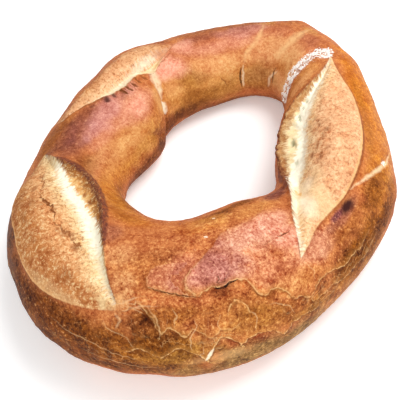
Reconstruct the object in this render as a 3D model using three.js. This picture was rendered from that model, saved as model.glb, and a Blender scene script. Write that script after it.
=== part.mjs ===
// Ring loaf: an uneven ring of baked dough with three slashes that opened in the oven and
// the two ends of the dough laid over each other at the back left.
// Millimetres, +Z up, lying on its flat base. The front of the loaf faces -Y.
import * as THREE from "three";

// The ring at twelve clock stations, every 30 degrees counter-clockwise from +X.
const centreRadius = [73, 87, 117, 105, 100, 90, 106, 119, 118, 99, 85, 76];
const sectionWidth = [76, 77, 63, 61, 70, 76, 71, 89, 96, 96, 75, 81];
const heightAtNoWidth = 13.5;
const heightPerWidth = 0.66;
const widestLevel = 0.42; // share of the height below the widest line
const topPower = 2.0; // 2 is an ellipse, more is squarer
const basePower = 2.6;
const baseCut = 1.5; // how far the rounded bottom is pressed flat
const hubOffset = new THREE.Vector2(18.4, 7.4); // the ring's hub from the middle of its box

// Slashes. Each row of edges is [clock angle, lip, crease, rim], the last three in
// millimetres along the surface from the crown, positive to the outside of the ring.
// The crust stands up as an ear along the lip and the crumb has burst out up to the rim.
const slashes = [
  {
    name: "left slash",
    ear: 5.0,
    lean: 1.8,
    reach: 11,
    depth: 4.6,
    burst: 4.2,
    step: 2.6,
    edges: [
      [179, 16, 16.2, 16.4],
      [184, 1.5, 8, 16.5],
      [191, -14, -1, 21],
      [198, -23.5, -7, 30.5],
      [206, -27, -10.5, 34.5],
      [214, -24.5, -10.5, 37],
      [222, -16.5, -6, 39.5],
      [230, -0.5, 7, 38],
      [235, 15.5, 18, 35],
      [238.5, 31, 32, 33],
    ],
  },
  {
    name: "right slash",
    ear: 4.0,
    lean: 1.2,
    reach: 8,
    depth: 4.8,
    burst: 4.6,
    step: 1.8,
    edges: [
      [285, 25, 25.4, 25.8],
      [289, 2, 12, 21],
      [295, -11, -5, 14.5],
      [303, -24, -15, 13],
      [312, -37, -22, 14.5],
      [326, -43.5, -25.5, 15.5],
      [344, -44, -25, 16.2],
      [0, -42.5, -22, 17.4],
      [10, -39.5, -17.5, 16.8],
      [19, -29, -11.5, 14],
      [27, -3, 1, 11.4],
      [34, 8.8, 9.1, 9.4],
    ],
  },
  {
    name: "back slash",
    ear: 3.6,
    lean: 1.0,
    reach: 9,
    depth: 4.4,
    burst: 3.0,
    step: 1.2,
    edges: [
      [103, 2.2, 2.5, 2.8],
      [110, -5, -1, 7],
      [117, -12, -7, 14],
      [123, -15, -9, 15.4],
      [131, -10.6, -5.5, 13],
      [140, -8, -3, 15.4],
      [148, -1.5, 3, 18.6],
      [155, 8, 11.5, 21.8],
      [159, 15, 18, 25],
      [162, 24, 25, 26],
    ],
  },
];

// The seam where one dough end lies on the other: [surface millimetres, clock angle].
const seam = [
  [-72, 134],
  [-54, 131],
  [-39, 126],
  [-31, 124],
  [-24, 122.5],
  [-17, 123],
];
const seamStep = 4.2; // how far the upper end stands over the lower one
const seamReach = 22;
const seamGroove = 1.8;

// Soft swellings and dents: [clock angle, surface millimetres, height, radius].
const swells = [
  [143, -56, -3.5, 18],
  [108, 24, -2.5, 16],
  [72, 22, -2.5, 18],
  [181, 24, -5.0, 16],
  [222, 64, 4.0, 24],
  [50, -52, 3.0, 13],
  [312, 22, 1.6, 12],
];

// Creases: the dough was folded or pinched along these, [clock angle, surface millimetres].
const creases = [
  {
    depth: 2.6,
    width: 4,
    path: [[36, 7], [41, 0], [42.5, -12], [45, -28], [44.5, -44], [43, -58]],
  },
  {
    depth: 1.4,
    width: 3,
    path: [[346, 47], [337, 35], [326, 24], [316, 15]],
  },
  {
    depth: 1.4,
    width: 3,
    path: [[241, 22], [250, 24], [258, 28], [267, 25]],
  },
];

// Crust relief: slow unevenness all over and cracked, flaky plates on the lower front.
const unevenness = 1.1;
const unevenSize = 26;
const plateRelief = 2.4;
const plateSize = 13;
const plateClock = [236, 318];
const plateBand = [26, 62];

const columns = 126;
const rowsOut = 24;
const rowsIn = 22;

const degrees = Math.PI / 180;
const clamp = (x, low, high) => Math.min(high, Math.max(low, x));

function ease(x) {
  const share = clamp(x, 0, 1);
  return share * share * (3 - 2 * share);
}

// A smooth closed curve through equal steps round the ring, as a function of clock angle.
function ringSpline(values) {
  const count = values.length;
  const bend = new Array(count).fill(0);
  for (let pass = 0; pass < 40; pass++) {
    for (let i = 0; i < count; i++) {
      const before = (i + count - 1) % count;
      const after = (i + 1) % count;
      const second = values[before] - 2 * values[i] + values[after];
      bend[i] = (6 * second - bend[before] - bend[after]) / 4;
    }
  }
  return (clock) => {
    const place = ((((clock / 360) % 1) + 1) % 1) * count;
    const i = Math.floor(place) % count;
    const j = (i + 1) % count;
    const f = place - Math.floor(place);
    const g = 1 - f;
    const straight = g * values[i] + f * values[j];
    return straight + ((g ** 3 - g) * bend[i] + (f ** 3 - f) * bend[j]) / 6;
  };
}

// A smooth open curve through [x, y] knots with rising x; flat beyond its ends.
function openCurve(knots) {
  const slopes = knots.map((knot, i) => {
    const before = knots[Math.max(0, i - 1)];
    const after = knots[Math.min(knots.length - 1, i + 1)];
    return (after[1] - before[1]) / (after[0] - before[0]);
  });
  return (x) => {
    if (x <= knots[0][0]) return knots[0][1];
    if (x >= knots.at(-1)[0]) return knots.at(-1)[1];
    let i = 0;
    while (x > knots[i + 1][0]) i++;
    const span = knots[i + 1][0] - knots[i][0];
    const f = (x - knots[i][0]) / span;
    const rise = knots[i][1] * (1 - ease(f)) + knots[i + 1][1] * ease(f);
    const start = slopes[i] * span * f * (1 - f) * (1 - f);
    const end = slopes[i + 1] * span * f * f * (1 - f);
    return rise + start - end;
  };
}

const radiusAt = ringSpline(centreRadius);
const widthAt = ringSpline(sectionWidth);

// Outline of the undisturbed section at a clock angle, walked from the crown outwards and
// under to the bottom; the inner half is its mirror image.
const sectionSteps = 180;
function sectionAt(clock) {
  const half = widthAt(clock) / 2;
  const height = heightAtNoWidth + heightPerWidth * widthAt(clock);
  const level = widestLevel * height;
  const points = [];
  for (let i = 0; i <= sectionSteps; i++) {
    const angle = (90 - (180 * i) / sectionSteps) * degrees;
    const power = angle >= 0 ? topPower : basePower;
    const out = half * Math.abs(Math.cos(angle)) ** (2 / power);
    const reach = angle >= 0 ? height - level : level;
    const rise = Math.sign(angle) * reach * Math.abs(Math.sin(angle)) ** (2 / power);
    points.push(new THREE.Vector2(out, level + rise));
  }
  const lengths = [0];
  for (let i = 1; i < points.length; i++) {
    lengths.push(lengths[i - 1] + points[i].distanceTo(points[i - 1]));
  }
  return { points, lengths, girth: lengths.at(-1) };
}

const sections = new Map();
function sectionFor(clock) {
  const key = Math.round(clock * 20);
  if (!sections.has(key)) sections.set(key, sectionAt(key / 20));
  return sections.get(key);
}

// The point of the undisturbed crust at a clock angle and a distance from the crown, with
// its outward normal and the direction in which the distance grows.
function crustAt(clock, along) {
  const { points, lengths, girth } = sectionFor(clock);
  const target = clamp(Math.abs(along), 0, girth);
  let i = 1;
  while (i < sectionSteps && lengths[i] < target) i++;
  const share = (target - lengths[i - 1]) / (lengths[i] - lengths[i - 1]);
  const flat = points[i - 1].clone().lerp(points[i], share);
  const run = points[Math.min(i + 1, sectionSteps)].clone().sub(points[Math.max(i - 2, 0)]);
  run.normalize();
  const side = along < 0 ? -1 : 1;
  const outward = new THREE.Vector3(Math.cos(clock * degrees), Math.sin(clock * degrees), 0);
  const up = new THREE.Vector3(0, 0, 1);
  const point = outward.clone().multiplyScalar(radiusAt(clock) + side * flat.x);
  point.z = flat.y;
  const tangent = outward.clone().multiplyScalar(run.x).addScaledVector(up, side * run.y);
  const normal = outward.clone().multiplyScalar(-side * run.y).addScaledVector(up, run.x);
  return { point, normal, tangent };
}

// Even noise between -1 and 1, the same on every run.
function cellNoise(x, y, z) {
  const mixed = Math.sin(x * 127.1 + y * 311.7 + z * 74.7) * 43758.5453;
  return 2 * (mixed - Math.floor(mixed)) - 1;
}

function softNoise(point, size) {
  const p = point.clone().divideScalar(size);
  const cell = p.clone().floor();
  const f = p.clone().sub(cell);
  let total = 0;
  for (let corner = 0; corner < 8; corner++) {
    const dx = corner & 1;
    const dy = (corner >> 1) & 1;
    const dz = corner >> 2;
    const share =
      ease(dx ? f.x : 1 - f.x) * ease(dy ? f.y : 1 - f.y) * ease(dz ? f.z : 1 - f.z);
    total += share * cellNoise(cell.x + dx, cell.y + dy, cell.z + dz);
  }
  return total;
}

// Nearest place on a path over the crust: how far off it is and how far along it.
function pathOnCrust(clocksAndDistances) {
  const points = clocksAndDistances.map(([clock, along]) => crustAt(clock, along).point);
  return (point) => {
    let best = { gap: Infinity, share: 0 };
    const spot = new THREE.Vector3();
    const leg = new THREE.Line3();
    for (let i = 0; i + 1 < points.length; i++) {
      leg.set(points[i], points[i + 1]);
      leg.closestPointToPoint(point, true, spot);
      const gap = spot.distanceTo(point);
      const part = leg.closestPointToPointParameter(point, true);
      if (gap < best.gap) best = { gap, share: (i + part) / (points.length - 1) };
    }
    return best;
  };
}

function sampled(curve, from, to, steps) {
  const line = [];
  for (let i = 0; i <= steps; i++) {
    const x = from + ((to - from) * i) / steps;
    line.push([x, curve(x)]);
  }
  return line;
}

// Clock angles are unwrapped so that they rise through each slash.
for (const slash of slashes) {
  const start = slash.edges[0][0];
  const rows = slash.edges.map(([clock, ...rest]) => [clock < start ? clock + 360 : clock, ...rest]);
  slash.start = start;
  slash.end = rows.at(-1)[0];
  slash.lip = openCurve(rows.map((row) => [row[0], row[1]]));
  slash.crease = openCurve(rows.map((row) => [row[0], row[2]]));
  slash.rim = openCurve(rows.map((row) => [row[0], row[3]]));
  slash.nearLip = pathOnCrust(sampled(slash.lip, slash.start, slash.end, 48));
  slash.nearRim = pathOnCrust(sampled(slash.rim, slash.start, slash.end, 48));
}

const unwrapped = (clock, start) => start + ((((clock - start) % 360) + 360) % 360);

// What a slash adds at a place: height along the normal and lean along the tangent.
function slashAt(slash, clock, along, point) {
  const turned = unwrapped(clock, slash.start - 20);
  if (turned > slash.end + 20) return { height: 0, lean: 0 };
  const toLip = slash.nearLip(point);
  const toRim = slash.nearRim(point);
  const strength = Math.sin(Math.PI * toLip.share) ** 0.6;
  const within = turned > slash.start && turned < slash.end;
  const lip = slash.lip(turned);
  const rim = slash.rim(turned);
  if (within && along > lip && along < rim) {
    const crease = (slash.crease(turned) - lip) / (rim - lip);
    const across = (along - lip) / (rim - lip);
    if (across < crease) {
      const fall = ease(across / crease) ** 0.6;
      return {
        height: strength * (slash.ear - (slash.ear + slash.depth) * fall),
        lean: strength * slash.lean * (1 - fall),
      };
    }
    const rise = (across - crease) / (1 - crease);
    const lifted = -slash.depth + (slash.depth + slash.step) * ease(rise * 1.3);
    return { height: strength * (lifted + slash.burst * Math.sin(Math.PI * rise)), lean: 0 };
  }
  if (!within || along <= lip) {
    const fade = strength * Math.exp(-toLip.gap / slash.reach);
    return { height: slash.ear * fade, lean: slash.lean * fade * fade };
  }
  return { height: strength * slash.step * Math.exp(-((toRim.gap / 1.6) ** 2)), lean: 0 };
}

const seamClock = openCurve(seam);
function seamAt(clock, along) {
  const strength = 1 - ease((along - seam[3][0]) / (seam[5][0] - seam[3][0]));
  const under = ease((along + 92) / 24);
  const off = (clock - seamClock(along)) * degrees * (radiusAt(clock) - 25);
  const groove = seamGroove * Math.exp(-((off / 2.5) ** 2));
  if (off <= 0) return under * strength * -groove;
  const nose = 1 - Math.exp(-off / 3);
  return under * strength * (seamStep * nose * Math.exp(-off / seamReach) - groove);
}

const creaseGaps = creases.map((crease) => pathOnCrust(crease.path));
const swellPoints = swells.map(([clock, along]) => crustAt(clock, along).point);

function plateShare(clock, along) {
  const turned = unwrapped(clock, 180);
  const [from, to] = plateClock;
  const [upper, lower] = plateBand;
  const round = ease((turned - from) / 14) * ease((to - turned) / 14);
  return round * ease((along - upper) / 8) * ease((lower - along) / 14 + 1);
}

// A place on the finished crust.
function loafPoint(clock, along) {
  const { point, normal, tangent } = crustAt(clock, along);
  let height = 0;
  let lean = 0;
  for (const slash of slashes) {
    const added = slashAt(slash, clock, along, point);
    height += added.height;
    lean += added.lean;
  }
  height += seamAt(unwrapped(clock, 60), along);
  creases.forEach((crease, i) => {
    const { gap } = creaseGaps[i](point);
    height -= crease.depth * Math.exp(-((gap / crease.width) ** 2));
  });
  swells.forEach(([, , rise, radius], i) => {
    height += rise * Math.exp(-((swellPoints[i].distanceTo(point) / radius) ** 2));
  });
  height += unevenness * softNoise(point, unevenSize);
  const plates = Math.abs(softNoise(point, plateSize)) - 0.3;
  height += plateRelief * plateShare(clock, along) * plates;
  const place = point.addScaledVector(normal, height).addScaledVector(tangent, lean);
  place.x += hubOffset.x;
  place.y += hubOffset.y;
  place.z = Math.max(0, place.z - baseCut);
  return place;
}

// One row of the mesh follows the lips of the three slashes round the ring.
const guideKnots = slashes
  .flatMap((slash) =>
    slash.edges.map(([clock, lip]) => [unwrapped(clock, 100), lip]),
  )
  .sort((a, b) => a[0] - b[0]);
const firstKnot = guideKnots[0];
const lastKnot = guideKnots.at(-1);
const lipLine = openCurve([
  [lastKnot[0] - 360, lastKnot[1]],
  ...guideKnots,
  [firstKnot[0] + 360, firstKnot[1]],
]);
const guideSpan = 6; // degrees over which the row is evened out, so it stays off the steep tips
function guideAt(clock) {
  let total = 0;
  for (let part = -2; part <= 2; part++) {
    total += lipLine(unwrapped(clock + (part * guideSpan) / 2, 100));
  }
  return total / 5;
}

function loafGeometry() {
  const positions = [];
  const rows = rowsOut + rowsIn;
  for (let column = 0; column < columns; column++) {
    const clock = (360 * column) / columns;
    const { girth } = sectionFor(clock);
    const lip = guideAt(clock);
    for (let row = 0; row < rows; row++) {
      const outer = row < rowsOut;
      const share = outer ? row / rowsOut : (rows - row) / rowsIn;
      const spread = 0.55 * share + 0.45 * share * share;
      const along = outer ? lip + (girth - lip) * spread : lip - (girth + lip) * spread;
      positions.push(...loafPoint(clock, along).toArray());
    }
  }
  const faces = [];
  for (let column = 0; column < columns; column++) {
    const next = (column + 1) % columns;
    for (let row = 0; row < rows; row++) {
      const below = (row + 1) % rows;
      const a = column * rows + row;
      const b = next * rows + row;
      const c = next * rows + below;
      const d = column * rows + below;
      faces.push(a, c, b, a, d, c);
    }
  }
  const geometry = new THREE.BufferGeometry();
  geometry.setAttribute("position", new THREE.Float32BufferAttribute(positions, 3));
  geometry.setIndex(faces);
  geometry.computeVertexNormals();
  return geometry;
}

const crustMaterial = new THREE.MeshStandardMaterial({ color: 0xb8763a, roughness: 0.6 });
const loaf = new THREE.Mesh(loafGeometry(), crustMaterial);
loaf.name = "loaf";

const group = new THREE.Group();
group.name = "ring_loaf";
group.add(loaf);

export default group;
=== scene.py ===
import math

import bpy
import numpy as np
from mathutils import Matrix, Vector


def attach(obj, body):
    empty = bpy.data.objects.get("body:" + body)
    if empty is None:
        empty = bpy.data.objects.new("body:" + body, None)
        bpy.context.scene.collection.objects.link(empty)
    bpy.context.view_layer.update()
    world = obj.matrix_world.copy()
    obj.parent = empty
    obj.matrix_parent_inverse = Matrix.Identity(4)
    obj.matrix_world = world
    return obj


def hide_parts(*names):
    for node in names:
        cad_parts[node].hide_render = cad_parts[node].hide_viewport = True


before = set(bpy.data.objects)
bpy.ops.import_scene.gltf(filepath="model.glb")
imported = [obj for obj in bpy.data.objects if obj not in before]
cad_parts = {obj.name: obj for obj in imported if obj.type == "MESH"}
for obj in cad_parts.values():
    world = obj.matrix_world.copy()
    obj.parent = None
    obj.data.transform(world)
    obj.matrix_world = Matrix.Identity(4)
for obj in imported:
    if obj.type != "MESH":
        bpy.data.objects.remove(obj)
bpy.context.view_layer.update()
print("frame loaded")

# The ring of dough, in millimetres, with the same named values as the solid.
ring = {
    "centreRadius": [73, 87, 117, 105, 100, 90, 106, 119, 118, 99, 85, 76],  # every 30 degrees from +X
    "sectionWidth": [76, 77, 63, 61, 70, 76, 71, 89, 96, 96, 75, 81],
    "heightAtNoWidth": 13.5,
    "heightPerWidth": 0.66,
    "widestLevel": 0.42,
    "topPower": 2.0,
    "basePower": 2.6,
    "baseCut": 1.5,
    "hub": (18.4, 7.4),
    "columns": 640,
    "rowsOut": 80,
    "rowsIn": 76,
    "spread": 0.7,  # 1 spaces the rows evenly, less crowds them at the lips
}

# Slashes. Edges are rows of [clock angle, lip, crease, rim], the last three in mm over the crust from
# the crown: the wall runs from the lip down to the crease, and the burst crust from there to the rim.
# Strip rows are [clock angle, from, to] of the white crumb, and burnt rows [clock angle, mm outside the
# lip, mm inside]. Heights are in mm, and stripWhite, wallCream, rosyCrumb and so on are shares of a
# tone; the rim's shade share is painted shadow just outside the rim, and its pale share a pale rim that
# is partly painted highlight.
slashes = {
    "left": {
        "ear": 2.6, "reach": 11, "ridge": 2.4, "ridgeWidth": 2.4, "lean": 1.8, "depth": 3.3, "burst": 4.2,
        "step": 2.6, "jag": 0.9, "stripWhite": 1, "wallCream": 0.15, "scorchReach": 5.5, "rosyCrumb": 0,
        "charred": 0.75, "porous": 0.9, "creaming": 0.75, "toast": 0.8, "toastFrom": 0.4,
        "toastSoft": 0.25, "rimPaleHighlight": 0.85, "rimShadow": 0.9,
        "edges": [
            [177, 17, 17.5, 19], [180, 8.5, 12, 27], [184, 0, 7, 31], [190, -12, 1, 34],
            [197, -22, -6.5, 33], [205, -25.5, -10.5, 32.5], [213, -24, -10.5, 37.5],
            [220, -18.5, -7, 40.5], [226, -9, 0.5, 40], [231, 2, 9.5, 38.5], [236, 17, 20.5, 36.5],
            [240, 30.5, 31.5, 34.5],
        ],
        "strip": [
            [177, 17.1, 17.3], [182, 5.6, 6.2], [186, -1.6, 2.4], [190, -6, 0.4], [195, -9.8, -2.4],
            [200, -12.2, -4], [205, -14.5, -5], [210, -15.5, -6.5], [215, -14.5, -5.5], [220, -12.5, -1.5],
            [225, -7.5, 3.5], [228, -2.5, 8], [231, 4.5, 12], [235, 15.5, 21], [238, 24.5, 27],
            [240, 30.6, 31.4],
        ],
        "burnt": [
            [181, 0, 0], [186, 3.2, 1.2], [193, 3.8, 2], [200, 3.6, 2.6], [208, 3.6, 2.8], [216, 3.4, 2.4],
            [224, 2.8, 1.8], [229, 1.8, 1], [233, 0, 0],
        ],
    },
    "right": {
        "ear": 2.6, "reach": 8, "ridge": 1.4, "ridgeWidth": 1.8, "lean": 1.2, "depth": 4.8, "burst": 4.1,
        "step": 1.8, "jag": 1, "stripWhite": 1, "wallCream": 0.95, "scorchReach": 5.2, "rosyCrumb": 0.75,
        "charred": 0.55, "porous": 0.65, "creaming": 0.5, "toast": 0, "toastFrom": 0.3, "toastSoft": 0.3,
        "rimPaleHighlight": 0.85, "rimShadow": 0.7,
        "edges": [
            [285, 25, 25.4, 25.8], [289, 2, 12, 21], [295, -11, -5, 14.5], [303, -24, -15, 13],
            [312, -37, -22, 14.5], [326, -43.5, -25.5, 15.5], [344, -44, -25, 16.2],
            [360, -42.5, -23, 17.4], [370, -39.5, -20, 16.4], [379, -29, -12.5, 12.5], [387, -3, 1, 9.8],
            [394, 8.8, 9.1, 9.4],
        ],
        "strip": [
            [285, 25, 25.7], [287, 11, 20], [289, 3, 12], [292, -5, 2], [296, -13, -6], [300, -21, -14],
            [305, -26, -18], [312, -31, -20], [320, -33, -20.5], [330, -32, -20.5], [340, -30, -21],
            [350, -29, -21], [360, -29, -18.5], [370, -28, -13.5], [376, -22, -9.5], [381, -15, -3],
            [387, -2, 2], [392, 5, 7.5], [394, 8.9, 9.3],
        ],
        "burnt": [
            [296, 0, 0], [300, 2, 0.9], [305, 4, 1.8], [311, 4, 3], [317, 4, 2.8], [324, 3, 1.6],
            [334, 2, 1], [350, 2, 0.9], [364, 2, 1.1], [374, 1.2, 0.8], [380, 0.6, 0.3], [386, 0, 0],
        ],
    },
    "back": {
        "ear": 2.6, "reach": 9, "ridge": 1, "ridgeWidth": 1.6, "lean": 1, "depth": 4, "burst": 3,
        "step": 1.2, "jag": 0.8, "stripWhite": 0.5, "wallCream": 0.75, "scorchReach": 0, "rosyCrumb": 0.9,
        "charred": 0, "porous": 0.9, "creaming": 0.15, "toast": 0.45, "toastFrom": 0.22, "toastSoft": 0.25,
        "rimPaleHighlight": 0.1, "rimShadow": 0.1,
        "edges": [
            [103, 3, 3.2, 3.6], [107, -4, -1.5, 6], [112, -11, -6, 10], [117, -16.5, -10, 12],
            [121, -19.5, -11, 13], [125, -16.5, -8.5, 13], [130, -13.3, -4.5, 13.5],
            [140, -11.5, -1.5, 15], [146, -8.5, 2, 17.5], [151, -4, 7, 20], [156, 3, 12, 23],
            [160, 10, 17, 25], [163, 18, 21, 26],
        ],
        "strip": [
            [103, 3.1, 3.4], [108, -2, 0], [114, -7, -2], [119, -9.5, -3], [122, -9.5, -3], [126, -9, -3],
            [130, -11.5, -3.5], [137, -11, -2.5], [144, -8.5, 0.5], [150, -4.5, 5], [156, 3, 10.5],
            [163, 18.5, 21],
        ],
        "burnt": [[132, 0, 0], [138, 0.7, 0.1], [150, 0.9, 0.1], [158, 0.7, 0.1], [162, 0, 0]],
    },
}

torn = {  # what all slashes share: lengths in mm, reliefs in mm, and the noise sizes they are drawn with
    "beyond": 20,  # degrees past its tips that a slash still shapes the crust
    "wayApart": 40,  # mm by which the slashes lie apart in the fibre noise
    "samples": 97, "tip": 0.0005, "tipPower": 0.6, "fallPower": 0.6, "riseSpeed": 1.3, "rimWidth": 1.3,
    "jagSizes": (3.1, 1.6), "fineJag": 0.6,
    "fibreSize": 1.7, "fibreStretch": 0.35, "fibreRelief": 0.9, "fibrePower": 0.5,
    "featherSize": 1.5, "featherStretch": 0.22, "featherRelief": 0.8, "featherReach": 6.0,
    "grainRelief": 0.55, "grainSize": 2.4, "grainFiner": 2.1, "fineGrain": 0.5,
    "narrowest": 0.5, "creaseKeep": 0.02, "slantFrom": 0.3, "leastSlant": 0.25,
}

lap = {  # the dough end laid over the other one, as [mm over the crust, clock angle]
    "line": [[-72, 131], [-54, 127.5], [-45, 126], [-38, 124.3], [-31, 123], [-24, 122.2], [-18, 121.5]],
    "step": 4.2, "reach": 22, "rise": 3, "groove": 1.8, "grooveWidth": 2.5,
    "fadeFrom": -31, "fadeTo": -18, "startsAt": -92, "startsOver": 24, "clockFrom": 60,
}

swells = [  # [clock angle, mm over the crust, height, radius]
    [143, -56, -3.5, 18], [108, 24, -1.4, 14], [70, 22, -1.2, 18], [181, 24, -5, 16], [221, 68, 1.8, 22],
    [47, -50, 1.2, 12], [53, -66, -3.4, 12], [312, 22, 1.6, 12], [134, 33, -2, 12], [171, 38, -1, 9],
    [97, -67, -1.2, 12], [154, -75, -1.2, 13], [184, -66, 1.2, 12], [270, 89, 1, 15], [57, 24, 2.2, 9],
    [130, -71, -1, 9], [30, 40, 1, 9], [40, 35, -1.3, 9], [230, 85, 1.3, 12], [247, 90, -1.5, 13],
    [210, 64, -0.8, 12], [140, 31, -0.8, 9],
]

creases = {  # folds and pinches, as [clock angle, mm over the crust]
    "flourSeam": {"depth": 2.6, "width": 4.0,
                  "path": [[36, 7], [41, 0], [42.5, -12], [45, -28], [44.5, -44], [43, -58]]},
    "rightFold": {"depth": 1.4, "width": 3.0, "path": [[346, 47], [337, 35], [326, 24], [316, 15]]},
    "bulgeFold": {"depth": 1.6, "width": 2.6, "path": [[138, -58], [144, -53], [149, -48.5], [153, -45]]},
}

crust = {  # relief and sizes in mm
    "unevenness": 1.1, "unevenSize": 26,
    "lumps": 0.30, "lumpSize": 9,
    "blisters": 0.18, "blisterSize": 2.6,
    "raggedness": 0.8, "raggedSize": 3, "raggedFiner": 1.3, "fineRagged": 0.5,
    "scaleRelief": 0.6, "scaleSize": 10, "scaleWobble": 2.2, "wobbleSize": 6, "scaleRim": 0.09,
    "scalesFrom": 34, "scalesOver": 16, "scalySize": 24, "scalyShare": 0.35, "scalyVaries": 0.9,
    "rimReach": 1.4, "rimDrop": 1.6, "rimDropFrom": 0.2, "rimShare": 0.6, "scaleLevels": 0.6,
    "rimLift": 0.8, "scalePale": 0.35,
    "nearSlash": 1.5,  # the skin's own relief fades out over this much beside a slash
    "footHeight": 11, "footUneven": 5, "footSize": 9, "footSoft": 7, "footBase": 0.6, "footShadeUmber": 0.75,
    "darkWander": (2.2, 21), "paleWander": (2.8, 25),  # noise size and seed along the lines
    "lineDent": 1.1, "lineTaper": 0.4, "flakeTaper": 0.3, "flakeFade": 14, "flakeFaint": 0.08, "farOff": 9,
    "patchEdge": 1.4, "patchWander": ((0.30, 14, 13), (0.20, 5, 17)), "spotEdge": 1.5, "spotRagged": 0.35,
}
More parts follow.
